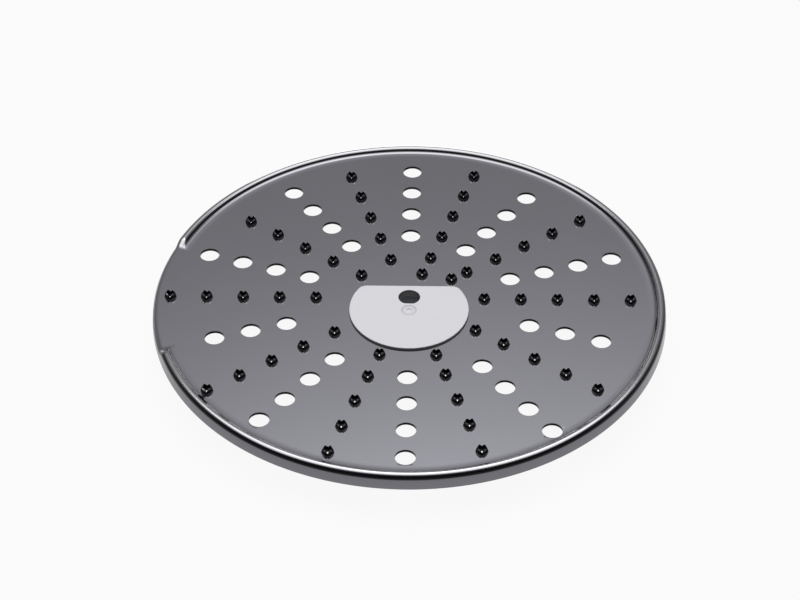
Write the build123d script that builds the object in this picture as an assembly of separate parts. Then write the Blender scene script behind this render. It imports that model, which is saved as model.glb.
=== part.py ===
from build123d import *
import os
from math import acos, cos, degrees, radians, sin, sqrt, tan

# A stamped stainless grating disc for a food processor, with a moulded plastic hub around its centre.
# Millimetres, +Z up. The origin is on the disc's axis, at the lower face of the hub.
# +X is to the right and +Y away from a person who has the hub's straight edge on the far side.

# Sheet and rim
disc_radius = 88.9          # lower edge of the flange
sheet = 0.8
top_height = 15.0           # upper face of the sheet above the lower face of the hub
flange_drop = 3.9           # upper face of the sheet down to the lower edge of the flange
flange_lean = 6.0           # degrees that the flange leans outwards
bead_height = 1.6           # crest of the bead above the upper face
crest_inside_bend = 0.9     # bend inside the bead, between its crest and the flange
shoulder_inside_bend = 0.55 # bend inside the bead, between its crest and its inner slope
toe_bend = 1.4              # bend at the foot of the inner slope
dish_bend = 40.0            # wide bend by which the flat sheet starts to rise towards the bead
dish_angle = 3.0            # slope at the end of that bend
gap_angle = 180             # direction of the plain stretch where the bead is left out
gap_half_width = 18.5       # degrees from the middle of that stretch to the foot of each bead end
run_out = 3.2               # length of the slope at each bead end, along the rim
plate_overlap = 1.0         # flat ring between the start of the dish and the inner plate

# Pierced teeth: straight rows, each a little nearer to the axis than the row before it
tooth_rows = 10
teeth_in_row = 5
pitch = 12.65               # tooth to tooth, and hole to hole, along a row
rim_to_tooth = 6.0          # rim to the outermost tooth of the first row
first_row_angle = 180
extra_tooth_rows = (36, 72)
tooth_side = 2.9            # outer square of a tooth at the sheet
tooth_top_side = 2.44       # the same square at the points
tooth_height = 2.2
tooth_opening = 1.75        # square opening at the lower face of the sheet
tooth_edge = 0.1            # thickness left at the points
tooth_root = 0.1            # flare where a tooth rises from the sheet
slit_root = 0.6             # lowest end of the slits between a tooth's petals
petal_bow = 0.25            # height by which a petal's edges bow out from straight
bow_place = 0.4             # where they do, as a share of the way from slit to point
hub_to_tooth = 4.5          # hub's edge to the nearest tooth

# Round holes: rows midway between the rows of teeth
hole_radius = 3.4
hole_first_radii = (69.2, 77.9, 78.2, 80.5, 68.7, 74.9, 71.5, 73.1, 73.8, 74.9)
hole_nearest = 33.0         # no hole lies nearer to the axis
turned_row = 1              # this row is turned out of the even spacing
turned_row_angle = -1.9

# Hub: a plate shaped like a D on the sheet, its core, a collar below and a boss on the axis
hub_radius = 20.6
hub_offset = 6.15           # axis to the centre of the plate's arc
hub_flat = 6.1              # axis to the plate's straight edge
hub_corner = 3.5
hub_proud = 0.85            # plate above the sheet
hub_edge_round = 0.25
collar = 2.0                # thickness of the collar below the sheet
arc_lip = 4.0               # sheet held under the plate, along the arc
flat_lip = 1.0              # sheet held under the plate, along the straight edge
boss_radius = 11.0
boss_chamfer = 0.6
gate_offset = 7.0           # axis to the middle of the moulding gate
gate_ring_radius = 2.75     # shallow round sink around the gate
gate_ring_depth = 0.12
gate_pip_radius = 1.0
gate_pip_depth = 0.45

# Spindle seat in the boss
socket_radius = 6.0
socket_depth = 11.2
socket_chamfer = 0.8
key_width = 3.5
key_reach = 8.0             # axis to the bottom of a keyway
pilot_radius = 3.75
pilot_flat = 3.4            # axis to the flat on the pilot hole's near side
pilot_land = 0.7            # straight length of the pilot hole, below the plate's upper face

# Bends on the upper face of the sheet, and the centres that they turn about
crest_bend = crest_inside_bend + sheet
shoulder_bend = shoulder_inside_bend + sheet
bend_reach = crest_bend * cos(radians(flange_lean))
bend_end = bead_height - crest_bend + crest_bend * sin(radians(flange_lean))
crest_radius = disc_radius - bend_reach - (bend_end + flange_drop) * tan(radians(flange_lean))
toe_height = dish_bend - (dish_bend - toe_bend) * cos(radians(dish_angle))
slope_angle = degrees(acos((toe_height + shoulder_bend - bead_height) / (toe_bend + shoulder_bend)))
toe_radius = crest_radius - (toe_bend + shoulder_bend) * sin(radians(slope_angle))
dish_radius = toe_radius - (dish_bend - toe_bend) * sin(radians(dish_angle))
plate_radius = dish_radius - plate_overlap
run_out_angle = degrees(run_out / disc_radius)


def slope_edges(inset):
    """Edges up the inner side of the section and along the bead's inner slope to its crest."""
    toe = (toe_radius, toe_height)
    shoulder = (crest_radius, bead_height - shoulder_bend)
    return [
        Line((plate_radius, -flange_drop), (plate_radius, -inset)),
        Line((plate_radius, -inset), (dish_radius, -inset)),
        CenterArc((dish_radius, dish_bend), dish_bend + inset, -90, dish_angle),
        CenterArc(toe, toe_bend + inset, dish_angle - 90, slope_angle - dish_angle),
        CenterArc(shoulder, shoulder_bend - inset, 90 + slope_angle, -slope_angle),
    ]


def bend_centre(height):
    """Centre of the outer bend below a crest of this height. The flange under it is the same cone all round."""
    return (crest_radius + (bead_height - height) * tan(radians(flange_lean)), height - crest_bend)


def flange_edges(height, inset):
    """Edges from the crest at this height, round the outer bend and down the flange, then back inside."""
    turn = CenterArc(bend_centre(height), crest_bend - inset, 90, flange_lean - 90)
    low = (disc_radius - inset / cos(radians(flange_lean)), -flange_drop)
    return [turn, Line(turn @ 1, low), Line(low, (plate_radius, -flange_drop))]


def upright(edges):
    """Closed outline in the plane of radius and height, as a face at the sheet's level."""
    return Pos(0, 0, top_height) * (Plane.XZ * make_face(edges))


def bead_face(inset):
    return upright(slope_edges(inset) + flange_edges(bead_height, inset))


def level_face(height, inset):
    """Section with a flat top at this height and the same outer bend and flange."""
    top = height - inset
    start = Line((plate_radius, -flange_drop), (plate_radius, top))
    across = Line((plate_radius, top), (bend_centre(height)[0], top))
    return upright([start, across] + flange_edges(height, inset))


def slope_face(inset):
    """Section under the bead's inner slope, reaching past the rim on the outer side."""
    crest = (crest_radius, bead_height - inset)
    far_crest = (disc_radius + sheet, bead_height - inset)
    far_low = (disc_radius + sheet, -flange_drop)
    near_low = (plate_radius, -flange_drop)
    return upright(slope_edges(inset) + [Polyline(crest, far_crest, far_low, near_low)])


def sector(face, start, turn):
    return revolve(Rot(0, 0, start) * face, Axis.Z, turn)


def bead_end(foot, inward):
    """Sloped end of the bead, from its foot at this angle to full height, turning the way inward says."""
    full = foot + inward * run_out_angle

    def filled(inset):
        high = Rot(0, 0, full) * level_face(bead_height, inset)
        low = Rot(0, 0, foot) * level_face(0, inset)
        ramp = loft([high, low][::-inward])
        return ramp & sector(slope_face(inset), min(foot, full), run_out_angle)

    return filled(0) - filled(sheet)


def rim():
    """The four stretches of the rim: the bead, its two sloped ends and the plain stretch between them."""
    low_foot = gap_angle - gap_half_width
    high_foot = gap_angle + gap_half_width
    bead_turn = 360 - 2 * (gap_half_width + run_out_angle)
    bead = sector(bead_face(0) - bead_face(sheet), high_foot + run_out_angle, bead_turn)
    plain = sector(level_face(0, 0) - level_face(0, sheet), low_foot, 2 * gap_half_width)
    return [bead, plain, bead_end(low_foot, -1), bead_end(high_foot, 1)]


def hub_outline(arc_inset=0, flat_inset=0):
    """The D of the hub plate, or the same shape set in from its arc and from its straight edge."""
    radius = hub_radius - arc_inset
    edge = hub_flat - flat_inset
    depth = 2 * radius
    disc = Pos(0, -hub_offset) * Circle(radius)
    beyond = Pos(0, edge + depth / 2) * Rectangle(2 * depth, depth)
    shape = disc - beyond
    return fillet(shape.vertices().group_by(Axis.Y)[-1], hub_corner)


def hub_keep_out(angle):
    """Least distance from the axis, along this direction, at which a tooth clears the hub."""
    across = cos(radians(angle))
    away = sin(radians(angle))
    reach = hub_radius + hub_to_tooth
    arc = -hub_offset * away + sqrt(reach ** 2 - (hub_offset * across) ** 2)
    if away <= 0:
        return arc
    flat = (hub_flat + hub_to_tooth) / away
    boss = boss_radius + tooth_side
    return min(arc, max(flat, boss))


def tooth_places():
    places = []
    step = 360 / tooth_rows
    for row in range(tooth_rows):
        angle = first_row_angle + row * step
        outermost = disc_radius - rim_to_tooth - row * pitch / tooth_rows
        limit = hub_keep_out(angle)
        radii = [max(outermost - n * pitch, limit) for n in range(teeth_in_row)]
        places += [(angle, radius) for radius in sorted(set(radii))]
    places += [(angle, hub_keep_out(angle)) for angle in extra_tooth_rows]
    return places


def hole_places():
    places = []
    step = 360 / tooth_rows
    for row, first in enumerate(hole_first_radii):
        angle = first_row_angle + (row + 0.5) * step
        if row == turned_row:
            angle += turned_row_angle
        radius = first
        while radius >= hole_nearest:
            places.append((angle, radius))
            radius -= pitch
    return places


def at_places(shape, places):
    """Copies of a shape at each angle and distance from the axis, none of them turned."""
    copies = []
    for angle, radius in places:
        x = radius * cos(radians(angle))
        y = radius * sin(radians(angle))
        copies.append(Pos(x, y, top_height) * shape)
    return copies


def square_at(side, height):
    return Pos(0, 0, height) * Rot(0, 0, 45) * Rectangle(side, side)


def tooth_hollow():
    lean = (tooth_top_side - 2 * tooth_edge - tooth_opening) / (tooth_height + sheet)
    low = -2 * sheet
    high = 2 * tooth_height
    low_side = tooth_opening + lean * (low + sheet)
    high_side = tooth_opening + lean * (high + sheet)
    return loft([square_at(low_side, low), square_at(high_side, high)], ruled=True)


def tooth_slit():
    """Wedge that parts the petals along Y, with its sides meeting at the points of the tooth."""
    half = tooth_top_side / 2 / sqrt(2) - tooth_edge / 2
    bow_half = bow_place * half
    bow_height = slit_root + bow_place * (tooth_height - slit_root) + petal_bow
    high = 2 * tooth_height
    half_high = half + (half - bow_half) * (high - tooth_height) / (tooth_height - bow_height)
    right = [(bow_half, bow_height), (half_high, high)]
    left = [(-half_high, high), (-bow_half, bow_height)]
    wedge = make_face(Polyline((0, slit_root), *right, *left, close=True))
    return extrude(Plane.XZ * wedge, 2 * tooth_side, both=True)


def tooth():
    """Four upright petals around a square opening, pushed up out of the sheet by a pointed punch."""
    root_side = tooth_side + 2 * tooth_root
    wall = loft([square_at(tooth_side, tooth_root), square_at(tooth_top_side, tooth_height)], ruled=True)
    flare = loft([square_at(root_side, 0), square_at(tooth_side, tooth_root)], ruled=True)
    base = extrude(square_at(root_side, -sheet / 2), sheet / 2)
    slit = tooth_slit()
    return wall + flare + base - tooth_hollow() - slit - Rot(0, 0, 90) * slit


def grating_disc():
    plate = Pos(0, 0, top_height - sheet) * extrude(Circle(plate_radius), sheet)
    window = Pos(0, 0, top_height - sheet) * extrude(hub_outline(arc_lip, flat_lip), sheet)
    hole = Pos(0, 0, -2 * sheet) * extrude(Circle(hole_radius), 3 * sheet)
    holes = at_places(hole, hole_places())
    hollows = at_places(tooth_hollow(), tooth_places())
    pierced = plate + rim() - [window, *holes, *hollows]
    return pierced + at_places(tooth(), tooth_places())


def gate_mark():
    """Sink left in the plate's upper face where the plastic was let in."""
    face = top_height + hub_proud
    ring = extrude(Circle(gate_ring_radius), -gate_ring_depth)
    pip = extrude(Circle(gate_pip_radius), -gate_pip_depth)
    return Pos(0, -gate_offset, face) * (ring + pip)


def spindle_seat():
    """Hollow for the spindle: keyed socket, tapered lead and pilot hole with its flat."""
    face = top_height + hub_proud
    socket = extrude(Circle(socket_radius), socket_depth)
    mouth_edge = Circle(socket_radius + socket_chamfer)
    mouth = loft([mouth_edge, Pos(0, 0, socket_chamfer) * Circle(socket_radius)])
    keyway = extrude(Rectangle(2 * key_reach, key_width), socket_depth)
    land = face - pilot_land
    lead = loft([Pos(0, 0, socket_depth) * Circle(socket_radius), Pos(0, 0, land) * Circle(pilot_radius)])
    near_side = Pos(0, -pilot_flat - pilot_radius) * Rectangle(2 * pilot_radius, 2 * pilot_radius)
    pilot = Pos(0, 0, land) * extrude(Circle(pilot_radius) - near_side, pilot_land)
    return socket + mouth + keyway + lead + pilot


def drive_hub():
    under = top_height - sheet
    plate = Pos(0, 0, top_height) * extrude(hub_outline(), hub_proud)
    plate = fillet(plate.faces().sort_by(Axis.Z)[-1].edges(), hub_edge_round)
    core = Pos(0, 0, under) * extrude(hub_outline(arc_lip, flat_lip), sheet)
    ring = Pos(0, 0, under - collar) * extrude(hub_outline(), collar)
    boss = extrude(Circle(boss_radius), under)
    boss = chamfer(boss.faces().sort_by(Axis.Z)[0].edges(), boss_chamfer)
    return plate + core + ring + boss - gate_mark() - spindle_seat()


os.makedirs("parts", exist_ok=True)
export_step(grating_disc(), "parts/grating_disc.step")
export_step(drive_hub(), "parts/drive_hub.step")
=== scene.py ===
from math import acos, asin, atan2, copysign, cos, hypot, pi, radians, sin, sqrt, tan

import bmesh
import bpy
from bpy.props import FloatProperty, FloatVectorProperty, IntProperty, PointerProperty
from mathutils import Matrix, Vector
from mathutils.geometry import delaunay_2d_cdt


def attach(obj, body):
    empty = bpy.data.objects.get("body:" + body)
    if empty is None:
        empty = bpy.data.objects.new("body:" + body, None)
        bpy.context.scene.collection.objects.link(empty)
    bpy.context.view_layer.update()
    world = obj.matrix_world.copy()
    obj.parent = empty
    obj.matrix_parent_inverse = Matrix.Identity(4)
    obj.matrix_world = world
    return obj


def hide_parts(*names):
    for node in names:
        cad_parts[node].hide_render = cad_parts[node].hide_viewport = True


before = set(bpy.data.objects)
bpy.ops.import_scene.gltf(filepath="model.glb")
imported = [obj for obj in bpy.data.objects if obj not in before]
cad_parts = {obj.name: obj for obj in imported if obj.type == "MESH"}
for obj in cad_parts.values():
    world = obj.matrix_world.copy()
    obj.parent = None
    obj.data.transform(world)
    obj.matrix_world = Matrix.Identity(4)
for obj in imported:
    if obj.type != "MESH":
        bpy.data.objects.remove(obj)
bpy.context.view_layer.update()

bl_info = {
    "name": "Grating disc",
    "version": (1, 0, 0),
    "blender": (4, 5, 0),
    "location": "View3D > Sidebar > Grating disc",
    "description": "Makes a stamped grating disc with a moulded hub, and its stage",
    "category": "Add Mesh",
}

MM = 0.001

# Each point's tone is 0 on the plain surface, 1 where shade and dark reflection are painted into its
# colour, and -1 where a highlight is painted
TONE = "tone"

# The photo's width and focal length in pixels, and the width of the camera's sensor
PHOTO_WIDTH = 800
FOCAL_PIXELS = 2161.0
SENSOR_MM = 36.0


def length(name, description, mm):
    """A length in metres, from its size in millimetres."""
    return FloatProperty(name=name, description=description, default=mm * MM, min=0.0, precision=5,
                         unit="LENGTH")


def angle(name, description, degrees):
    """An angle in radians, from its size in degrees."""
    return FloatProperty(name=name, description=description, default=radians(degrees), subtype="ANGLE")


def share(name, description, default):
    """A number from 0 to 1."""
    return FloatProperty(name=name, description=description, default=default, min=0.0, max=1.0,
                         subtype="FACTOR")


def brightness(name, description, default):
    """The strength of a light, where 1 is white."""
    return FloatProperty(name=name, description=description, default=default, min=0.0)


def colour(name, description, default):
    return FloatVectorProperty(name=name, description=description, default=default, size=3, subtype="COLOR",
                               min=0.0, max=1.0)


class DiscSizes(bpy.types.PropertyGroup):
    """Sizes of the stamped sheet."""
    disc_radius: length("Disc radius", "Axis to the lower edge of the flange", 88.9)
    sheet: length("Sheet", "Thickness of the sheet", 0.8)
    top_height: length("Top height", "Foot of the hub to the upper face of the sheet", 15.0)
    flange_drop: length("Flange drop", "Upper face of the sheet down to the edge of the flange", 3.9)
    flange_lean: angle("Flange lean", "Slope by which the flange leans outwards", 6.0)
    bead_height: length("Bead height", "Crest of the bead above the upper face", 1.6)
    crest_bend: length("Crest bend", "Outer bend between the crest and the flange", 1.7)
    shoulder_bend: length("Shoulder bend", "Outer bend between the crest and the inner slope", 1.35)
    toe_bend: length("Toe bend", "Bend at the foot of the inner slope", 1.4)
    dish_bend: length("Dish bend", "Wide bend where the flat sheet starts to rise", 40.0)
    dish_angle: angle("Dish angle", "Slope at the end of that bend", 3.0)
    gap_angle: angle("Gap angle", "Direction of the stretch that has no bead", 180.0)
    gap_half_width: angle("Gap half width", "Middle of that stretch to the foot of each bead end", 18.5)
    run_out: length("Run-out", "Length of the slope at each bead end, along the rim", 3.2)
    end_bend: length("End bend", "Half length of the soft bends of a bead end", 1.1)
    mitre_bend: length("Mitre bend", "Softness where a bead end meets the inner slope", 0.5)
    plate_margin: length("Plate margin", "Least flat metal between an opening and the rim", 0.15)
    edge_round: length("Edge round", "Rounding of the flange's cut edge", 0.12)
    hole_radius: length("Hole radius", "Radius of the round holes", 3.4)
    hole_roll: length("Hole roll", "Rounding of the upper edge of a hole", 0.06)
    hole_burr: length("Hole burr", "Lip at the lower edge of a hole", 0.15)
    mouth_bevel: length("Mouth bevel", "Bevel at the lower edge of a tooth's opening", 0.06)
    hole_nearest: length("Nearest hole", "No hole lies nearer to the axis", 33.0)
    pitch: length("Pitch", "Tooth to tooth and hole to hole along a row", 12.65)
    rim_to_tooth: length("Rim to tooth", "Rim to the outermost tooth of the first row", 6.0)
    hub_to_tooth: length("Hub to tooth", "Edge of the hub plate to the nearest tooth", 4.5)
    rows: IntProperty(name="Rows", description="Rows of teeth round the disc", default=10, min=1)
    teeth_in_row: IntProperty(name="Teeth in a row", description="Most teeth in one row", default=5, min=1)
    tooth_side: length("Tooth side", "Outer square of a tooth at the sheet", 2.9)
    tooth_top_side: length("Tooth top side", "The same square at the points", 2.44)
    tooth_height: length("Tooth height", "Points of a tooth above the sheet", 2.2)
    tooth_opening: length("Tooth opening", "Square opening at the lower face", 1.45)
    tooth_edge: length("Tooth edge", "Thickness left at the points", 0.1)
    tooth_root: length("Tooth root", "Flare where a tooth rises from the sheet", 0.1)
    slit_root: length("Slit root", "Lowest end of the slits between the petals", 0.6)
    petal_swell: length("Petal swell", "Outward swell of a petal's middle", 0.2)
    petal_fullness: FloatProperty(name="Petal fullness", default=1.45, min=1.0, max=3.0,
                                  description="1 has straight petal edges, more bows them out")


class HubSizes(bpy.types.PropertyGroup):
    """Sizes of the moulded hub."""
    plate_radius: length("Plate radius", "Arc of the plate", 20.6)
    plate_offset: length("Plate offset", "Axis to the centre of the arc", 6.15)
    plate_flat: length("Plate flat", "Axis to the straight edge", 6.1)
    plate_corner: length("Plate corner", "Rounding of the plate's two corners", 3.5)
    proud: length("Proud", "Plate above the sheet", 0.85)
    edge_round: length("Edge round", "Rounding of the plate's upper edge", 0.25)
    collar: length("Collar", "Thickness of the collar below the sheet", 2.0)
    collar_round: length("Collar round", "Rounding of the collar's lower edge", 0.3)
    arc_lip: length("Arc lip", "Sheet held under the plate along the arc", 4.0)
    flat_lip: length("Flat lip", "Sheet held under the plate along the straight edge", 1.0)
    boss_radius: length("Boss radius", "Radius of the boss on the axis", 11.0)
    boss_chamfer: length("Boss chamfer", "Chamfer of the boss's lower edge", 0.6)
    gate_offset: length("Gate offset", "Axis to the middle of the moulding gate", 7.0)
    gate_ring_radius: length("Gate ring radius", "Radius of the shallow sink round the gate", 2.75)
    gate_ring_depth: length("Gate ring depth", "Depth of that sink", 0.12)
    gate_pip_radius: length("Gate pip radius", "Radius of the pip in the sink", 1.0)
    gate_pip_depth: length("Gate pip depth", "Depth of the pip below the plate", 0.45)
    socket_radius: length("Socket radius", "Radius of the spindle socket", 6.0)
    socket_depth: length("Socket depth", "Depth of the spindle socket", 11.2)
    socket_chamfer: length("Socket chamfer", "Chamfer of the socket's mouth", 0.8)
    key_width: length("Key width", "Width of the two keyways", 3.5)
    key_reach: length("Key reach", "Axis to the bottom of a keyway", 8.0)
    pilot_radius: length("Pilot radius", "Radius of the pilot hole", 3.75)
    pilot_flat: length("Pilot flat", "Axis to the flat of the pilot hole", 3.4)
    pilot_land: length("Pilot land", "Straight length of the pilot hole", 0.7)
    pilot_round: length("Pilot round", "Rounding of the pilot hole's upper edge", 0.1)


class Finishes(bpy.types.PropertyGroup):
    """Colours and gloss of the two materials."""
    steel: colour("Steel", "Rolled stainless sheet", (0.36, 0.36, 0.398))
    # painted dark reflection and shade, laid on by the tone
    steel_painted_dark: colour("Painted dark steel", "Stainless with painted dark reflection and shade", (0.012, 0.012, 0.013))
    # painted highlight, laid on by negative tone
    steel_painted_highlight: colour("Steel painted highlight", "Stainless with a painted highlight", (0.55, 0.55, 0.57))
    steel_roughness: share("Steel roughness", "Gloss of the rolled sheet", 0.09)
    rim_roughness: share("Rim roughness", "Gloss of the sheet where the rim was drawn", 0.17)
    plastic: colour("Plastic", "Hub plastic", (0.668, 0.679, 0.738))
    # painted shade on the hub's side walls, bores and gate sink
    plastic_shaded: share("Plastic shade", "Painted shade on side walls and bores, as a share of its colour", 0.15)
    plastic_roughness: share("Plastic roughness", "Gloss of the hub plastic", 0.48)


class StageSizes(bpy.types.PropertyGroup):
    """Camera, light and floor."""
    target: FloatVectorProperty(name="Target", description="Point that the camera looks at",
                                default=(-3.20 * MM, -0.68 * MM, 15.0 * MM), size=3, subtype="TRANSLATION")
    distance: length("Distance", "Camera to that point", 748.5)
    azimuth: angle("Azimuth", "Camera's turn round the disc", 1.274)
    elevation: angle("Elevation", "Camera above the horizon", 40.30)
    roll: angle("Roll", "Camera's turn about its own line of sight", -0.25)
    lens: FloatProperty(name="Lens", description="Focal length in millimetres",
                        default=FOCAL_PIXELS / PHOTO_WIDTH * SENSOR_MM, min=1.0)
    floor_reach: length("Floor reach", "Axis of the disc to the edge of the floor", 4000.0)
    floor: colour("Floor", "Colour of the floor", (0.93, 0.93, 0.93))
    background: colour("Background", "Colour that the floor shows as background", (0.97, 0.97, 0.97))
    floor_glow: share("Floor glow", "Share of the floor that shows as that background", 0.95)
    box_width: length("Box width", "Width of the soft light above, from left to right", 720.0)
    box_depth: length("Box depth", "Depth of that light, from near to far", 430.0)
    box_height: length("Box height", "Floor to that light", 415.0)
    box_back: length("Box back", "Axis of the disc to that light's middle, to the back", 21.0)
    box_colour: colour("Box colour", "Colour of that light", (1.0, 0.975, 0.93))
    box_light: brightness("Box light", "Strength of that light", 1.7)
    back_light: brightness("Back light", "Strength of that light's soft edge, to the back", 1.35)
    haze_light: brightness("Haze light", "Strength of the dim light round that edge", 0.1)
    room_light: brightness("Room light", "Strength of the pale room", 0.27)
    card_width: length("Card width", "Width of the low white card behind the disc", 150.0)
    card_height: length("Card height", "Height of that card", 30.0)
    card_back: length("Card back", "Axis of the disc to that card", 128.0)
    card_light: brightness("Card light", "Strength of that card", 2.0)


class Wire:
    """An output of a shader node. Maths on it adds Math nodes to the same tree."""

    def __init__(self, tree, socket=None):
        self.tree = tree
        self.socket = socket

    def node(self, kind, settings=None, inputs=None, output=0):
        """A new node of this kind, with its settings made first, and one of its outputs."""
        made = self.tree.nodes.new(kind)
        for name, value in (settings or {}).items():
            setattr(made, name, value)
        for key, value in (inputs or {}).items():
            if isinstance(value, Wire):
                self.tree.links.new(value.socket, made.inputs[key])
            else:
                made.inputs[key].default_value = value
        return Wire(self.tree, made.outputs[output] if len(made.outputs) else None)

    def maths(self, operation, first, second):
        return self.node("ShaderNodeMath", {"operation": operation}, {0: first, 1: second})

    def __add__(self, other):
        return self.maths("ADD", self, other)

    def __radd__(self, other):
        return self.maths("ADD", other, self)

    def __sub__(self, other):
        return self.maths("SUBTRACT", self, other)

    def __rsub__(self, other):
        return self.maths("SUBTRACT", other, self)

    def __mul__(self, other):
        return self.maths("MULTIPLY", self, other)

    def __rmul__(self, other):
        return self.maths("MULTIPLY", other, self)

    def or_more(self, other):
        """The greater of this value and another."""
        return self.maths("MAXIMUM", self, other)

    def clamp(self):
        """This value, kept from 0 to 1."""
        return self.node("ShaderNodeClamp", {}, {0: self})

    def over(self, low, high, new_low=0.0, new_high=1.0):
        """This value taken smoothly from one range to another."""
        return self.node("ShaderNodeMapRange", {"interpolation_type": "SMOOTHSTEP"},
                         {0: self, 1: low, 2: high, 3: new_low, 4: new_high})

    def tint(self, low, high):
        """A colour between two, by this value."""
        return self.node("ShaderNodeMix", {"data_type": "RGBA"}, {0: self, 6: low, 7: high}, 2)


def rgba(rgb, level=1.0):
    return (rgb[0] * level, rgb[1] * level, rgb[2] * level, 1.0)


def new_tree(owner):
    """An empty node tree on a material or a world, as the start of its nodes."""
    owner.use_nodes = True
    owner.node_tree.nodes.clear()
    return Wire(owner.node_tree)


def noise(place, scale=1.0, detail=3.0, roughness=0.5):
    inputs = {"Vector": place, "Scale": scale, "Detail": detail, "Roughness": roughness}
    return place.node("ShaderNodeTexNoise", {}, inputs, "Fac")


def new_finish(name):
    """A new material, the start of its nodes, the places on the piece and the tones there."""
    material = bpy.data.materials.new(name)
    start = new_tree(material)
    place = start.node("ShaderNodeTexCoord", output="Object")
    tone = start.node("ShaderNodeAttribute", {"attribute_name": TONE}, output="Fac")
    return material, start, place, tone


def drawn_out(place, scale):
    """Places for a pattern that has its own scale along each axis."""
    return place.node("ShaderNodeMapping", {}, {"Vector": place, "Scale": scale})


def close_surface(start, material, base, rough, metallic, bump):
    """The shader that a finish ends with."""
    inputs = {"Base Color": base, "Roughness": rough, "Metallic": metallic, "Normal": bump}
    surface = start.node("ShaderNodeBsdfPrincipled", {}, inputs)
    start.node("ShaderNodeOutputMaterial", {}, {"Surface": surface})
    return material


# Where the drawn rim's own gloss starts and is full: in from the disc's edge, and up from the plate
BEAD_INSIDE = (6.0 * MM, 4.0 * MM)
BEAD_RISE = 0.5 * MM
FLANGE_INSIDE = (1.4 * MM, 0.7 * MM)


def drawn_rim(place, disc):
    """1 on the bead and the flange, 0 on the plate."""
    flat = place.node("ShaderNodeVectorMath", {"operation": "MULTIPLY"}, {0: place, 1: (1.0, 1.0, 0.0)})
    reach = flat.node("ShaderNodeVectorMath", {"operation": "LENGTH"}, {0: flat}, "Value")
    rise = place.node("ShaderNodeSeparateXYZ", {}, {0: place}, "Z")
    edge = disc.disc_radius
    bead = reach.over(edge - BEAD_INSIDE[0], edge - BEAD_INSIDE[1])
    bead = bead * rise.over(disc.top_height, disc.top_height + BEAD_RISE)
    return bead.or_more(reach.over(edge - FLANGE_INSIDE[0], edge - FLANGE_INSIDE[1]))


def steel_finish(look, disc):
    """Rolled stainless sheet: faint rolling lines, soft smudges, and tones that paint dark reflection and
    shade on its slopes, walls and flange, and highlights on the crest and tooth points.
    """
    material, start, place, tone = new_finish("rolled_stainless")
    # negative tone paints a highlight
    painted_highlight = (0.0 - tone).clamp()
    drawn = drawn_rim(place, disc)
    lines = noise(drawn_out(place, (60.0, 2600.0, 0.0)))
    cloud = noise(place, scale=38.0)
    smudge = noise(place, scale=120.0, detail=4.0, roughness=0.6).over(0.52, 0.72)
    grain = noise(place, scale=3200.0, detail=2.0)
    shade = 0.95 + 0.06 * cloud + 0.04 * lines - 0.02 * smudge
    plain = shade.over(0.9, 1.06).tint(rgba(look.steel, 0.94), rgba(look.steel, 1.05))
    # torn is the painted dark reflection and shade, with a little random grain
    torn = grain.tint(rgba(look.steel_painted_dark, 0.8), rgba(look.steel_painted_dark, 1.2))
    base = painted_highlight.tint(tone.tint(plain, torn), rgba(look.steel_painted_highlight))
    gloss = drawn.over(0.0, 1.0, look.steel_roughness, look.rim_roughness)
    rough = gloss + 0.02 * smudge + 0.03 * lines + 0.08 * (tone + painted_highlight)
    height = (0.6 * lines + 0.4 * grain) * (1.0 - tone) * (1.0 - drawn)
    bump = height.node("ShaderNodeBump", {}, {"Strength": 0.06, "Distance": 0.02 * MM, "Height": height})
    return close_surface(start, material, base, rough, 1.0, bump)


def plastic_finish(look):
    """Hub plastic: fine spark texture, slight clouding, a few faint rubbed marks, and painted shade on its
    side walls, bores and gate sink.
    """
    material, start, place, tone = new_finish("moulded_plastic")
    cloud = noise(place, scale=90.0)
    spark = noise(place, scale=4200.0, roughness=0.65)
    rub = noise(drawn_out(place, (90.0, 1500.0, 1500.0)), detail=4.0).over(0.56, 0.7)
    shade = 0.5 * cloud + 0.3 * spark + 0.2 * rub
    plain = shade.tint(rgba(look.plastic, 0.96), rgba(look.plastic, 1.04))
    # tone paints shade into the plastic's colour
    base = tone.tint(plain, rgba(look.plastic, look.plastic_shaded))
    rough = look.plastic_roughness + 0.1 * spark - 0.06 * rub
    bump = spark.node("ShaderNodeBump", {}, {"Strength": 0.2, "Distance": 0.03 * MM, "Height": spark})
    return close_surface(start, material, base, rough, 0.0, bump)


INSIDE_FACES = 1  # what the triangulation keeps: the faces inside the outer loop
NEAR_ENOUGH = 1e-6  # points of a flat face this near, in millimetres, are one
SHARP_ANGLE = radians(32)  # edges that turn by more stay crisp


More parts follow.
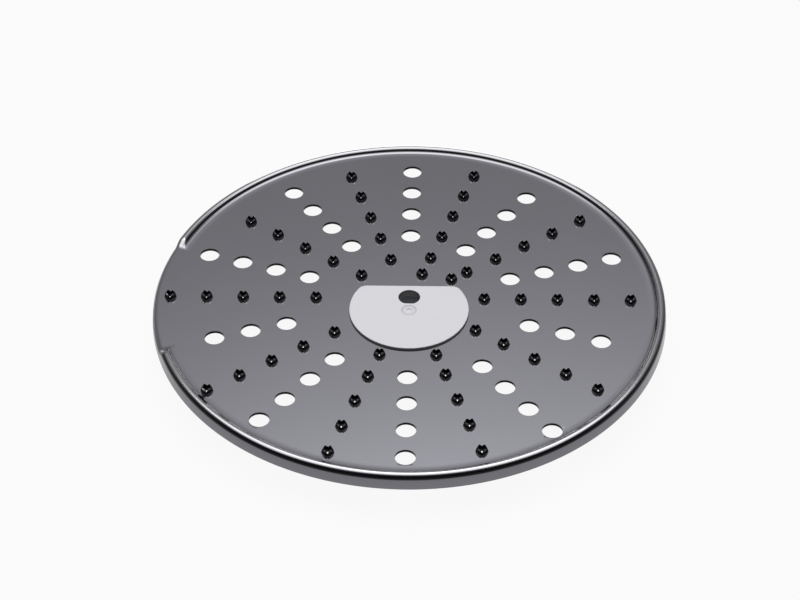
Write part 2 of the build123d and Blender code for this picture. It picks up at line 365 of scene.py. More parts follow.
class Blank:
    """Points and faces of one piece, made loop by loop."""

    def __init__(self):
        self.mesh = bmesh.new()
        self.tone = self.mesh.verts.layers.float.new(TONE)

    def loop(self, points, tone=0.0, tones=None):
        """A ring of points with one tone, or with a tone for each."""
        ring = [self.mesh.verts.new(point) for point in points]
        for n, vert in enumerate(ring):
            vert[self.tone] = tones[n] if tones else tone
        return ring

    def bands(self, loops):
        """Faces between each loop and the next. They all have as many points."""
        for first, second in zip(loops, loops[1:]):
            for n in range(len(first)):
                self.mesh.faces.new((first[n - 1], first[n], second[n], second[n - 1]))

    def fill(self, outer, holes=()):
        """Flat face inside one loop, left open inside the others and across their outlines' hollows."""
        rings = [outer, *holes]
        verts = [vert for ring in rings for vert in ring]
        ring_of = [n for n, ring in enumerate(rings) for vert in ring]
        edges = []
        first = 0
        for ring in rings:
            edges += [(first + n, first + (n + 1) % len(ring)) for n in range(len(ring))]
            first += len(ring)
        flat = [Vector((vert.co.x / MM, vert.co.y / MM)) for vert in verts]
        faces, sources = delaunay_2d_cdt(flat, edges, [], INSIDE_FACES, NEAR_ENOUGH)[2:4]
        for corners in faces:
            ids = [sources[n][0] for n in corners]
            touched = {ring_of[n] for n in ids}
            if len(touched) == 1 and touched != {0}:
                continue
            self.mesh.faces.new([verts[n] for n in ids])

    def finish(self, name, material):
        """The piece as an object in the frame, with its faces outwards and its corners crisp."""
        bmesh.ops.recalc_face_normals(self.mesh, faces=self.mesh.faces)
        for face in self.mesh.faces:
            face.smooth = True
        for edge in self.mesh.edges:
            edge.smooth = edge.calc_face_angle(0.0) < SHARP_ANGLE
        data = bpy.data.meshes.new(name)
        self.mesh.to_mesh(data)
        self.mesh.free()
        data.materials.append(material)
        piece = bpy.data.objects.new(name, data)
        bpy.context.scene.collection.objects.link(piece)
        weights = piece.modifiers.new("crisp_flats", "WEIGHTED_NORMAL")
        weights.keep_sharp = True
        return piece


def steps(first, last, count):
    """Evenly spaced values, both ends among them."""
    return [first + (last - first) * n / count for n in range(count + 1)]


def circle(radius, count, centre=(0.0, 0.0), height=0.0):
    turns = [2 * pi * n / count for n in range(count)]
    return [(centre[0] + radius * cos(t), centre[1] + radius * sin(t), height) for t in turns]


def rounding(size, count):
    """A quarter round from a flat face to a wall: turn, distance out from the wall, and drop."""
    return [(a, size * (1 - sin(a)), size * (1 - cos(a))) for a in steps(0, pi / 2, count)]


def soft_min(first, second, softness):
    """The lesser of two heights, with the corner between them rounded."""
    if softness <= 0 or abs(first - second) >= softness:
        return min(first, second)
    reach = (softness - abs(first - second)) / softness
    return min(first, second) - reach * reach * softness / 4


def soft_ramp(x, half):
    """0 before 0, 1 after 1 and straight between, with both corners rounded over half each way."""
    def area(at):
        if at <= 0:
            return 0.0
        return at * at / 2 if at <= 1 else at - 0.5

    return (area(x + half) - area(x - half)) / (2 * half)


FADE_SOFTNESS = 0.3  # rounding of a fade's two ends, as a share of its length


def fade(value, first, last):
    """0 before the first value and 1 after the last, with both ends soft. The first may be the greater."""
    return soft_ramp((value - first) / (last - first), FADE_SOFTNESS)


# How finely the rim is divided: angles round it, then steps over dish, toe, shoulder and outer bend
RIM_MARKS = 480
RIM_FINE = slice(264, 456)  # the near side, where the marks are twice as close
END_MARKS = 44  # along each bead end
END_REACH = (-0.4, 1.4)  # from before its foot to past its top, as shares of the run-out
MARKS_APART = 1e-4  # marks nearer than this angle are one
UPPER_STEPS = (4, 12, 13, 12)
LOWER_STEPS = (3, 4, 4, 4)
EDGE_STEPS = 3  # each rounding of the flange's cut edge

# Tones of the rim, which paint dark reflection on the slopes, the outer bend and the flange, and a
# highlight on the crest. A fade runs between two slopes of the sheet, in radians.
SLOPE_TONE = 0.95  # painted dark reflection on the inner slope of the bead
SLOPE_FADE = (0.56, 0.91)
CREST_HIGHLIGHT = 0.45  # painted highlight on the crest
INNER_CREST_FADE = (0.63, 0.28)
OUTER_CREST_FADE = (0.39, 0.09)
BEND_FADE = (0.72, 1.02)  # painted dark reflection on the outer bend where there is no bead
BEND_SOONER = 0.27  # it starts so much sooner where the bead is full
FLANGE_TONES = ((0.15, 0.64), (0.4, 0.59), (1.0, 0.58))  # millimetres below the outer bend, and tone of painted dark reflection
EDGE_TONE = 0.55  # painted dark reflection on the cut edge of the flange


class Rim:
    """Section of the rim at any angle round the disc. It meets the plate outside every opening."""

    def __init__(self, s, openings):
        self.s = s
        self.openings = openings
        bend_end = s.bead_height - s.crest_bend + s.crest_bend * sin(s.flange_lean)
        self.crest_radius = self.flange_radius(bend_end, 0.0) - s.crest_bend * cos(s.flange_lean)
        spare = s.dish_bend - s.toe_bend
        both = s.toe_bend + s.shoulder_bend
        level = s.dish_bend + s.shoulder_bend - s.bead_height - spare * cos(s.dish_angle)
        self.slope = acos(level / both)
        self.dish_radius = self.crest_radius - (spare * sin(s.dish_angle) + both * sin(self.slope))

    def angles(self):
        """Angles round the rim, closer together on the near side and at the two bead ends."""
        s = self.s
        run = s.run_out / s.disc_radius
        marks = [2 * pi * n / RIM_MARKS for n in range(RIM_MARKS)]
        marks += [mark + pi / RIM_MARKS for mark in marks[RIM_FINE]]
        for side in (-1, 1):
            foot = s.gap_angle + side * s.gap_half_width
            marks += [foot + side * t * run for t in steps(*END_REACH, END_MARKS)]
        marks = sorted(mark % (2 * pi) for mark in marks)
        return [mark for n, mark in enumerate(marks) if n == 0 or mark - marks[n - 1] > MARKS_APART]

    def crest(self, angle):
        """Height of the bead at this angle, or of its sloped end, or none in the gap."""
        s = self.s
        away = abs((angle - s.gap_angle + pi) % (2 * pi) - pi) - s.gap_half_width
        return s.bead_height * soft_ramp(away * s.disc_radius / s.run_out, s.end_bend / s.run_out)

    def start(self, angle):
        """Radius where rim and plate meet: the bead's foot, or further out where an opening needs it."""
        radius = self.dish_radius - self.s.plate_margin
        for (x, y), reach in self.openings:
            along = x * cos(angle) + y * sin(angle)
            across = y * cos(angle) - x * sin(angle)
            reach += self.s.plate_margin
            if along > 0 and abs(across) < reach:
                radius = max(radius, along + sqrt(reach ** 2 - across ** 2))
        return radius

    def bends(self, inset):
        """The bends up the inner side of one face: the centre, the bend, and the slopes at its two ends."""
        s = self.s
        spare = s.dish_bend - s.toe_bend
        toe_radius = self.dish_radius + spare * sin(s.dish_angle)
        toe_height = s.dish_bend - spare * cos(s.dish_angle)
        return (
            (self.dish_radius, s.dish_bend, -s.dish_bend - inset, 0.0, s.dish_angle),
            (toe_radius, toe_height, -s.toe_bend - inset, s.dish_angle, self.slope),
            (self.crest_radius, s.bead_height - s.shoulder_bend, s.shoulder_bend - inset, self.slope, 0.0),
        )

    def flange_radius(self, height, inset):
        """Radius of one face of the flange at this height."""
        s = self.s
        return s.disc_radius - (height + s.flange_drop) * tan(s.flange_lean) - inset / cos(s.flange_lean)

    def slope_height(self, radius, inset):
        """Height of one face of the bead's inner side at this radius, had the bead no ends."""
        height = -inset
        for centre, level, bend, first, _ in self.bends(inset):
            if radius > centre - bend * sin(first):
                height = level + copysign(sqrt(max(0.0, bend ** 2 - (radius - centre) ** 2)), bend)
        return height

    def height(self, radius, angle, inset):
        """Height of one face of the sheet, inside the crest of the bead."""
        crest = self.crest(angle)
        part = crest / self.s.bead_height
        softness = self.s.mitre_bend * 4 * part * (1 - part)
        return soft_min(self.slope_height(radius, inset), crest - inset, softness)

    def section(self, angle, inset):
        """Radius, height and tone along one face, from the plate over the bead to the flange."""
        s = self.s
        counts = LOWER_STEPS if inset else UPPER_STEPS
        crest = self.crest(angle)
        part = crest / s.bead_height
        squeeze = (self.crest_radius - self.start(angle)) / (self.crest_radius - self.dish_radius)
        points = []
        for (centre, _, bend, first, last), count in zip(self.bends(inset), counts):
            for a in steps(first, last, count)[1 if points else 0:]:
                radius = self.crest_radius - (self.crest_radius - centre + bend * sin(a)) * squeeze
                tone = SLOPE_TONE * fade(a, *SLOPE_FADE)
                if first > last:
                    tone -= CREST_HIGHLIGHT * fade(a, *INNER_CREST_FADE)
                points.append((radius, self.height(radius, angle, inset), part * tone))
        bend = s.crest_bend - inset
        low = crest - s.crest_bend
        centre = self.crest_radius + (s.bead_height - crest) * tan(s.flange_lean)
        for a in steps(0, pi / 2 - s.flange_lean, counts[-1])[1:]:
            tone = fade(a + BEND_SOONER * part, *BEND_FADE) - CREST_HIGHLIGHT * part * fade(a, *OUTER_CREST_FADE)
            points.append((centre + bend * sin(a), low + bend * cos(a), tone))
        for drop, tone in FLANGE_TONES:
            height = low - drop * MM
            points.append((self.flange_radius(height, inset), height, tone))
        return points

    def cut_edge(self):
        """Radius, height and tone round the flange's cut edge, from its outer face to its inner one."""
        s = self.s
        lean = s.flange_lean
        outer = s.disc_radius - s.edge_round * (1 + sin(lean)) / cos(lean)
        inner = s.disc_radius + (s.edge_round * (1 - sin(lean)) - s.sheet) / cos(lean)
        level = s.edge_round - s.flange_drop
        turns = [(outer, a) for a in steps(lean, -pi / 2, EDGE_STEPS)]
        turns += [(inner, a) for a in steps(-pi / 2, lean - pi, EDGE_STEPS)]
        points = []
        for centre, a in turns:
            points.append((centre + s.edge_round * cos(a), level + s.edge_round * sin(a), EDGE_TONE))
        return points


def stamp_rim(blank, s, rim):
    """Bead and flange all round. Returns the loops where they meet the plate's upper and lower face."""
    marks = rim.angles()
    sections = []
    for mark in marks:
        inside = rim.section(mark, s.sheet)
        sections.append(rim.section(mark, 0.0) + rim.cut_edge() + inside[::-1])
    loops = []
    for n in range(len(sections[0])):
        points = []
        tones = []
        for mark, section in zip(marks, sections):
            radius, height, tone = section[n]
            points.append((radius * cos(mark), radius * sin(mark), s.top_height + height))
            tones.append(tone)
        loops.append(blank.loop(points, tones=tones))
    blank.bands(loops)
    return loops[0], loops[-1]


# Rows of teeth, with the rows of holes midway between them
FIRST_ROW = pi  # direction of the first row of teeth
EXTRA_TEETH = (radians(36), radians(72))  # directions of two more teeth beside the hub
TURNED_ROW = 1  # this row of holes is turned out of the even spacing
TURNED_BY = radians(-1.9)
# Axis to the outermost hole of each row
FIRST_HOLES_MM = (69.2, 77.9, 78.2, 80.5, 68.7, 74.9, 71.5, 73.1, 73.8, 74.9)


def hole_places(s):
    places = []
    for row, first in enumerate(FIRST_HOLES_MM):
        turn = FIRST_ROW + (row + 0.5) * 2 * pi / s.rows
        if row == TURNED_ROW:
            turn += TURNED_BY
        radius = first * MM
        while radius >= s.hole_nearest:
            places.append((radius * cos(turn), radius * sin(turn)))
            radius -= s.pitch
    return places


NEARLY_LEVEL = 1e-6  # directions that rise less towards the straight edge never meet it


def keep_out(turn, s, hub):
    """Least distance from the axis, along this direction, at which a tooth clears the hub."""
    away = sin(turn)
    reach = hub.plate_radius + s.hub_to_tooth
    arc = -hub.plate_offset * away + sqrt(reach ** 2 - (hub.plate_offset * cos(turn)) ** 2)
    if away <= NEARLY_LEVEL:
        return arc
    flat = (hub.plate_flat + s.hub_to_tooth) / away
    return min(arc, max(flat, hub.boss_radius + s.tooth_side))


def tooth_places(s, hub):
    spots = []
    for row in range(s.rows):
        turn = FIRST_ROW + row * 2 * pi / s.rows
        outermost = s.disc_radius - s.rim_to_tooth - row * s.pitch / s.rows
        nearest = keep_out(turn, s, hub)
        radii = {max(outermost - n * s.pitch, nearest) for n in range(s.teeth_in_row)}
        spots += [(turn, radius) for radius in sorted(radii)]
    spots += [(turn, keep_out(turn, s, hub)) for turn in EXTRA_TEETH]
    return [(radius * cos(turn), radius * sin(turn)) for turn, radius in spots]


HOLE_MARKS = 48  # round a hole
ROLL_STEPS = 4  # over its rolled edge
# The lip below a hole: out from the wall and down from the sheet, as shares of the lip, and tone of painted
# dark reflection
HOLE_LIP = ((0.0, 1.0, 1.0), (0.4, 1.0, 0.8), (1.0, 0.0, 0.4))


def punch_hole(blank, s, place):
    """Wall of one hole, with the rolled edge above and a small burr below, all with painted dark
    reflection.
    """
    loops = []
    low = s.top_height - s.sheet
    for a, out, drop in rounding(s.hole_roll, ROLL_STEPS):
        ring = circle(s.hole_radius + out, HOLE_MARKS, place, s.top_height - drop)
        loops.append(blank.loop(ring, 1.0 if a else 0.0))
    for out, down, tone in HOLE_LIP:
        radius = s.hole_radius + out * s.hole_burr
        loops.append(blank.loop(circle(radius, HOLE_MARKS, place, low - down * s.hole_burr), tone))
    blank.bands(loops)
    return loops[0], loops[-1]


# How finely a tooth is divided: along a petal, all round, up the flare, up a petal, down the opening
PETAL_MARKS = 8
TOOTH_MARKS = 4 * PETAL_MARKS
FLARE_STEPS = 3
PETAL_STEPS = 6
OPENING_STEPS = 4

FLARE_FOOT = 1.2  # the sheet's face starts so many flares out from a petal
ROOT_TONE = 0.95  # painted dark reflection on the flare
PETAL_TONE = 0.97  # painted dark reflection on the outside of a petal
POINT_HIGHLIGHT = 1.6  # taken off that at the points, which paints a highlight there
POINT_FADE = (1.2 * MM, 1.7 * MM)  # heights between which it comes up
MOUTH_TONE = 0.3  # painted dark reflection on the lower edge of the opening


def tooth_point(s, place, side, n, height):
    """One point of a tooth's square section, which has its corners on X and Y and swollen sides."""
    quarter, step = divmod(n, PETAL_MARKS)
    along = 2 * step / PETAL_MARKS - 1
    turn = quarter * pi / 2 + pi / 4
    out = side / 2 + s.petal_swell * (1 - along ** 2)
    across = side / 2 * along
    x = place[0] + out * cos(turn) - across * sin(turn)
    y = place[1] + out * sin(turn) + across * cos(turn)
    return (x, y, height)


def tooth_ring(s, place, side, height):
    return [tooth_point(s, place, side, n, height) for n in range(TOOTH_MARKS)]


def petal_tips(s):
    """Height of a tooth's torn upper edge above the sheet, at each point round it."""
    tips = []
    for n in range(TOOTH_MARKS):
        along = abs(2 * (n % PETAL_MARKS) / PETAL_MARKS - 1)
        tips.append(s.slit_root + (s.tooth_height - s.slit_root) * (1 - along ** s.petal_fullness))
    return tips


def pierce_tooth(blank, s, place):
    """Four upright petals round a square opening, torn up out of the sheet by a pointed punch."""
    top = s.top_height
    tips = petal_tips(s)
    foot = s.tooth_side + 2 * FLARE_FOOT * s.tooth_root
    loops = [blank.loop(tooth_ring(s, place, foot, top))]
    for _, out, rise in rounding(s.tooth_root, FLARE_STEPS):
        loops.append(blank.loop(tooth_ring(s, place, s.tooth_side + 2 * out, top + rise), ROOT_TONE))
    for part in steps(0, 1, PETAL_STEPS)[1:]:
        points = []
        tones = []
        for n, tip in enumerate(tips):
            z = (tip - s.tooth_root) * part
            drawn_in = (z / (s.tooth_height - s.tooth_root)) ** 2
            side = s.tooth_side + (s.tooth_top_side - s.tooth_side) * drawn_in
            points.append(tooth_point(s, place, side, n, top + s.tooth_root + z))
            tones.append(PETAL_TONE - POINT_HIGHLIGHT * fade(z, *POINT_FADE))
        loops.append(blank.loop(points, tones=tones))
    lean = (s.tooth_top_side - 2 * s.tooth_edge - s.tooth_opening) / (s.tooth_height + s.sheet)
    low = -s.sheet + s.mouth_bevel
    # the walls of the opening carry painted dark reflection
    for part in steps(1, 0, OPENING_STEPS):
        points = []
        for n, tip in enumerate(tips):
            z = low + (tip - low) * part
            side = s.tooth_opening + lean * (z + s.sheet)
            points.append(tooth_point(s, place, side, n, top + z))
        loops.append(blank.loop(points, 1.0))
    mouth = s.tooth_opening + 2 * s.mouth_bevel
    loops.append(blank.loop(tooth_ring(s, place, mouth, top - s.sheet), MOUTH_TONE))
    blank.bands(loops)
    return loops[0], loops[-1]


# How finely the hub's D is divided: its arc, each corner and its straight edge
ARC_STEPS = 120
CORNER_STEPS = 12
FLAT_STEPS = 24


def d_outline(hub, height, radius, flat, corner):
    """Points round a D whose arc has the plate's centre."""
    centre_y = flat - corner
    reach = radius - corner
    centre_x = sqrt(reach ** 2 - (centre_y + hub.plate_offset) ** 2)
    meet = atan2(centre_y + hub.plate_offset, centre_x)
    points = []
    for a in steps(pi - meet, 2 * pi + meet, ARC_STEPS):
        points.append((radius * cos(a), radius * sin(a) - hub.plate_offset, height))
    for a in steps(meet, pi / 2, CORNER_STEPS)[1:]:
        points.append((centre_x + corner * cos(a), centre_y + corner * sin(a), height))
    for x in steps(centre_x, -centre_x, FLAT_STEPS)[1:]:
        points.append((x, flat, height))
    for a in steps(pi / 2, pi - meet, CORNER_STEPS)[1:-1]:
        points.append((-centre_x + corner * cos(a), centre_y + corner * sin(a), height))
    return points


def plate_outline(hub, height, inset=0.0):
    """The hub plate, or a line inside it."""
    radius = hub.plate_radius - inset
    return d_outline(hub, height, radius, hub.plate_flat - inset, hub.plate_corner - inset)


def window_outline(hub, height):
    """The window in the sheet, which the plate covers with a lip all round."""
    radius = hub.plate_radius - hub.arc_lip
    flat = hub.plate_flat - hub.flat_lip
    return d_outline(hub, height, radius, flat, hub.plate_corner)


def build_disc(s, hub, material):
    """The stamped sheet. Openings near the rim rise with it."""
    blank = Blank()
    holes = hole_places(s)
    teeth = tooth_places(s, hub)
    reaches = [(place, s.hole_radius + max(s.hole_roll, s.hole_burr)) for place in holes]
    reaches += [(place, sqrt(0.5) * s.tooth_side + 2 * s.tooth_root) for place in teeth]
    rim = Rim(s, reaches)
    openings = [punch_hole(blank, s, place) for place in holes]
    openings += [pierce_tooth(blank, s, place) for place in teeth]
    for vert in blank.mesh.verts:
        lift = rim.height(hypot(vert.co.x, vert.co.y), atan2(vert.co.y, vert.co.x), 0.0)
        vert.co.z = min(vert.co.z + lift, s.top_height + s.tooth_height)
    upper, lower = stamp_rim(blank, s, rim)
    window = [blank.loop(window_outline(hub, z)) for z in (s.top_height, s.top_height - s.sheet)]
    blank.bands(window)
    openings.append(window)
    blank.fill(upper, [opening[0] for opening in openings])
    blank.fill(lower, [opening[1] for opening in openings])
    return blank.finish("stamped_disc", material)


# How finely the socket is divided: half its circle, the side of a keyway and its bottom
SOCKET_STEPS = 40
KEY_STEPS = 3
KEY_END_STEPS = 4


def keyed_outline(hub, radius, height):
    """The socket's section at this height: a circle of this radius with a keyway on each side."""
    half = hub.key_width / 2
    start = asin(half / radius)
    mouth = sqrt(radius ** 2 - half ** 2)
    ring = [(radius * cos(a), radius * sin(a)) for a in steps(start, pi - start, SOCKET_STEPS)]
    ring += [(-x, half) for x in steps(mouth, hub.key_reach, KEY_STEPS)[1:]]
    ring += [(-hub.key_reach, y) for y in steps(half, -half, KEY_END_STEPS)[1:]]
    ring += [(-x, -half) for x in steps(hub.key_reach, mouth, KEY_STEPS)[1:-1]]
    points = []
    for side in (0, pi):
        for x, y in ring:
            points.append((x * cos(side) - y * sin(side), x * sin(side) + y * cos(side), height))
    return points


PILOT_MARKS = 64


def pilot_outline(hub, grow, height):
    """The pilot hole, a circle with a flat on its near side, grown outwards a little."""
    flat = hub.pilot_flat + grow
    ring = circle(hub.pilot_radius + grow, PILOT_MARKS, height=height)
    return [(x, max(y, -flat), z) for x, y, z in ring]


# Steps of the hub's roundings, and how steeply the painted shade of the walls comes up over them
PLATE_ROUND_STEPS = 6
COLLAR_ROUND_STEPS = 4
PILOT_ROUND_STEPS = 4
PLATE_SHADE_POWER = 3
PILOT_SHADE_POWER = 4


def build_hub(hub, s, material):
    """The moulding: plate, core and collar in one skin, and the boss below."""
    blank = Blank()
    face = s.top_height + hub.proud
    under = s.top_height - s.sheet
    foot = under - hub.collar
    outside = []
    # the plate's rounding and side wall get painted shade
    for a, inset, drop in rounding(hub.edge_round, PLATE_ROUND_STEPS):
        outside.append(blank.loop(plate_outline(hub, face - drop, inset), sin(a) ** PLATE_SHADE_POWER))
    outside.append(blank.loop(plate_outline(hub, s.top_height), 1.0))
    outside.append(blank.loop(window_outline(hub, s.top_height)))
    outside.append(blank.loop(window_outline(hub, under)))
    outside.append(blank.loop(plate_outline(hub, under)))
    for _, rise, inset in rounding(hub.collar_round, COLLAR_ROUND_STEPS):
        outside.append(blank.loop(plate_outline(hub, foot + rise, inset)))
    blank.bands(outside)
    pilot = []
    for a, grow, drop in rounding(hub.pilot_round, PILOT_ROUND_STEPS):
        pilot.append(blank.loop(pilot_outline(hub, grow, face - drop), sin(a) ** PILOT_SHADE_POWER))
    land = face - hub.pilot_land
    slant = (hub.socket_radius - hub.pilot_radius) / (land - hub.socket_depth)
    lead = hub.pilot_radius + slant * (land - foot)
    # the pilot hole's inside gets painted shade
    pilot.append(blank.loop(pilot_outline(hub, 0.0, land), 1.0))
    pilot.append(blank.loop(circle(hub.pilot_radius, PILOT_MARKS, height=land), 1.0))
    pilot.append(blank.loop(circle(lead, PILOT_MARKS, height=foot), 1.0))
    blank.bands(pilot)
    gate = gate_loops(blank, hub, face)
    blank.fill(outside[0], [pilot[0], gate])
    blank.fill(outside[-1], [pilot[-1]])
    add_boss(blank, hub, under, foot, lead)
    return blank.finish("moulded_hub", material)


GATE_MARKS = 48  # round the gate
SINK_STEPS = 3  # over the edge of its sink
SINK_TONE = 0.3  # painted shade at the foot of that edge
# The lip round the pip, in millimetres: out from the pip's radius and up from the floor of the sink
PIP_LIP_MM = ((0.45, 0.0), (0.25, 0.08), (0.05, 0.08), (-0.1, -0.1))
PIP_TAPER = 0.2 * MM


def gate_loops(blank, hub, face):
    """Sink and pip where the plastic was let in. Returns the sink's rim."""
    place = (0.0, -hub.gate_offset)
    depth = hub.gate_ring_depth
    loops = []
    for a in steps(0, pi / 2, SINK_STEPS):
        ring = circle(hub.gate_ring_radius - depth * sin(a), GATE_MARKS, place, face - depth * (1 - cos(a)))
        loops.append(blank.loop(ring, SINK_TONE * sin(a)))
    section = [(hub.gate_pip_radius + out * MM, face - depth + up * MM) for out, up in PIP_LIP_MM]
    section.append((hub.gate_pip_radius - PIP_TAPER, face - hub.gate_pip_depth))
    for radius, height in section:
        loops.append(blank.loop(circle(radius, GATE_MARKS, place, height)))
    blank.bands(loops)
    blank.fill(loops[-1])
    return loops[0]


BOSS_MARKS = 96
SOCKET_TONE = 0.8  # painted shade at the end of the socket
SOCKET_LEDGE = 0.05 * MM  # flat at the end of the socket, outside its lead to the pilot hole
KEY_WALL = 1.0 * MM  # plastic outside the keyways, inside the collar


def add_boss(blank, hub, under, foot, lead):
    """The boss on the axis and its keyed socket, as a shell that ends inside the collar."""
    keyed = [
        blank.loop(keyed_outline(hub, hub.socket_radius + hub.socket_chamfer, 0.0)),
        blank.loop(keyed_outline(hub, hub.socket_radius, hub.socket_chamfer)),
        blank.loop(keyed_outline(hub, hub.socket_radius, hub.socket_depth), SOCKET_TONE),
    ]
    blank.bands(keyed)
    outer = [
        blank.loop(circle(hub.boss_radius - hub.boss_chamfer, BOSS_MARKS)),
        blank.loop(circle(hub.boss_radius, BOSS_MARKS, height=hub.boss_chamfer)),
        blank.loop(circle(hub.boss_radius, BOSS_MARKS, height=under)),
    ]
    blank.bands(outer)
    end = hub.socket_radius - SOCKET_LEDGE
    wall = hub.key_reach + KEY_WALL
    inner = [
        # the end of the socket and its lead get painted shade
        blank.loop(circle(end, BOSS_MARKS, height=hub.socket_depth), SOCKET_TONE),
        blank.loop(circle(lead, BOSS_MARKS, height=foot), 1.0),
        blank.loop(circle(wall, BOSS_MARKS, height=foot)),
        blank.loop(circle(wall, BOSS_MARKS, height=under)),
    ]
    blank.bands(inner)
    blank.fill(outer[0], [keyed[0]])
    blank.fill(outer[-1], [inner[-1]])
    blank.fill(keyed[-1], [inner[0]])


class GRATER_OT_stamp_disc(bpy.types.Operator):
    """Stamp the sheet: plate, bead, flange, round holes and pierced teeth"""
    bl_idname = "grater.stamp_disc"
    bl_label = "Stamp disc"

    def execute(self, context):
        scene = context.scene
        steel = steel_finish(scene.grater_finishes, scene.grater_disc)
        piece = build_disc(scene.grater_disc, scene.grater_hub, steel)
        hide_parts("grating_disc")
        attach(piece, "root")
        return {"FINISHED"}


class GRATER_OT_mould_hub(bpy.types.Operator):
    """Mould the hub round the middle of the sheet"""
    bl_idname = "grater.mould_hub"
    bl_label = "Mould hub"

    def execute(self, context):
        scene = context.scene
        plastic = plastic_finish(scene.grater_finishes)
        piece = build_hub(scene.grater_hub, scene.grater_disc, plastic)
        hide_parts("drive_hub")
        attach(piece, "root")
        return {"FINISHED"}


# Rays that meet the floor as plain background
SEEN_BY = ("Is Camera Ray", "Is Glossy Ray", "Is Transmission Ray")


def floor_finish(stage):
    """Pale floor that shows as white background and keeps a soft shadow."""
    material = bpy.data.materials.new("pale_floor")
    start = new_tree(material)
    camera, glossy, through = [start.node("ShaderNodeLightPath", output=name) for name in SEEN_BY]
    seen = (camera + glossy + through).clamp()
    matt = start.node("ShaderNodeBsdfDiffuse", {}, {"Color": rgba(stage.floor)})
    glow = start.node("ShaderNodeEmission", {}, {"Color": rgba(stage.background), "Strength": 1.0})
    mixed = start.node("ShaderNodeMixShader", {}, {0: seen * stage.floor_glow, 1: matt, 2: glow})
    start.node("ShaderNodeOutputMaterial", {}, {"Surface": mixed})
    return material


# The soft edge of the light above: its middle, and angles from it at which light starts and is full
BACK_AIM = (0.03, 0.55, 1.0)
BACK_SPREAD = (radians(25), radians(5))
HAZE_SPREAD = (radians(50), radians(26))


def light_room(stage):
    """The soft edge of the light above, in a pale room."""
    world = bpy.data.worlds.new("studio")
    bpy.context.scene.world = world
    start = new_tree(world)
    ray = start.node("ShaderNodeTexCoord", output="Generated")
    aim = Vector(BACK_AIM).normalized()
    dot = ray.node("ShaderNodeVectorMath", {"operation": "DOT_PRODUCT"}, {0: ray, 1: aim}, "Value")
    away = dot.node("ShaderNodeMath", {"operation": "ARCCOSINE"}, {0: dot})
    back = stage.back_light * away.over(*BACK_SPREAD)
    haze = stage.haze_light * away.over(*HAZE_SPREAD)
    inputs = {"Color": (1.0, 1.0, 1.0, 1.0), "Strength": back + haze + stage.room_light}
    background = start.node("ShaderNodeBackground", {}, inputs)
    start.node("ShaderNodeOutputWorld", {}, {"Surface": background})


def soft_light(name, width, depth, light, tint, place, turn=0.0):
    """A flat soft light, facing down before it is turned about X. It isn't seen itself."""
    data = bpy.data.lights.new(name, "AREA")
    data.shape = "RECTANGLE"
    data.size = width
    data.size_y = depth
    data.color = tint
    data.energy = light * pi * width * depth
    box = bpy.data.objects.new(name, data)
    box.location = place
    box.rotation_euler = (turn, 0.0, 0.0)
    box.visible_camera = False
    bpy.context.scene.collection.objects.link(box)
    return box


def hang_lights(stage):
    """The soft box above the disc, and the low card behind it, which only shows in the bright metal."""
    over = (0.0, stage.box_back, stage.box_height)
    soft_light("soft_box", stage.box_width, stage.box_depth, stage.box_light, stage.box_colour, over)
    behind = (0.0, stage.card_back, stage.card_height / 2)
    card = soft_light("white_card", stage.card_width, stage.card_height, stage.card_light, stage.box_colour,
                      behind, turn=-pi / 2)
    card.visible_diffuse = False


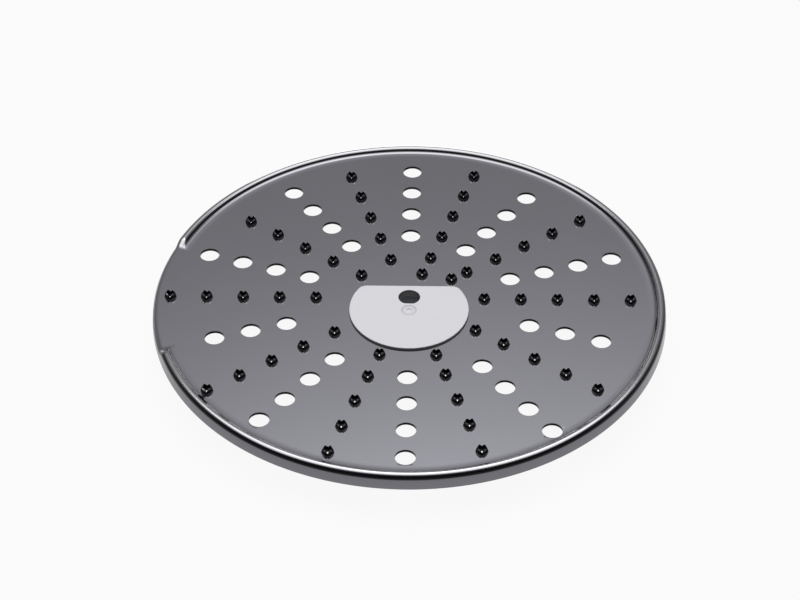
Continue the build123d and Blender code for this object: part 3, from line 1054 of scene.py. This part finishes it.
def aim_camera(stage):
    data = bpy.data.cameras.new("camera")
    data.sensor_width = SENSOR_MM
    data.lens = stage.lens
    data.clip_start = 10 * MM
    camera = bpy.data.objects.new("camera", data)
    bpy.context.scene.collection.objects.link(camera)
    level = cos(stage.elevation)
    back = Vector((sin(stage.azimuth) * level, -cos(stage.azimuth) * level, sin(stage.elevation)))
    right = Vector((0.0, 0.0, 1.0)).cross(back).normalized()
    up = back.cross(right)
    rolled_right = cos(stage.roll) * right + sin(stage.roll) * up
    rolled_up = cos(stage.roll) * up - sin(stage.roll) * right
    pose = Matrix((rolled_right, rolled_up, back)).transposed().to_4x4()
    pose.translation = Vector(stage.target) + back * stage.distance
    camera.matrix_world = pose
    bpy.context.scene.camera = camera


class GRATER_OT_set_stage(bpy.types.Operator):
    """Lay the floor, light the room and set the camera"""
    bl_idname = "grater.set_stage"
    bl_label = "Set stage"

    def execute(self, context):
        stage = context.scene.grater_stage
        context.scene.view_settings.view_transform = "Standard"
        mesh = bmesh.new()
        bmesh.ops.create_grid(mesh, x_segments=4, y_segments=4, size=stage.floor_reach)
        data = bpy.data.meshes.new("floor")
        mesh.to_mesh(data)
        mesh.free()
        data.materials.append(floor_finish(stage))
        floor = bpy.data.objects.new("floor", data)
        context.scene.collection.objects.link(floor)
        light_room(stage)
        hang_lights(stage)
        aim_camera(stage)
        return {"FINISHED"}


class GRATER_PT_panel(bpy.types.Panel):
    """Sizes, finishes and the steps that make the disc"""
    bl_idname = "GRATER_PT_panel"
    bl_label = "Grating disc"
    bl_space_type = "VIEW_3D"
    bl_region_type = "UI"
    bl_category = "Grating disc"

    def draw(self, context):
        for group_name in GROUPS:
            group = getattr(context.scene, group_name)
            box = self.layout.box()
            for name in type(group).__annotations__:
                box.prop(group, name)
        for step in STEPS:
            self.layout.operator(step.bl_idname)


STEPS = (GRATER_OT_stamp_disc, GRATER_OT_mould_hub, GRATER_OT_set_stage)
GROUPS = {
    "grater_disc": DiscSizes,
    "grater_hub": HubSizes,
    "grater_finishes": Finishes,
    "grater_stage": StageSizes,
}


def register():
    for name, group in GROUPS.items():
        bpy.utils.register_class(group)
        setattr(bpy.types.Scene, name, PointerProperty(type=group))
    for step in STEPS:
        bpy.utils.register_class(step)
    bpy.utils.register_class(GRATER_PT_panel)


def unregister():
    bpy.utils.unregister_class(GRATER_PT_panel)
    for step in reversed(STEPS):
        bpy.utils.unregister_class(step)
    for name, group in GROUPS.items():
        delattr(bpy.types.Scene, name)
        bpy.utils.unregister_class(group)


def main():
    register()
    bpy.ops.grater.stamp_disc()
    bpy.ops.grater.mould_hub()
    bpy.ops.grater.set_stage()


if __name__ == "__main__":
    main()
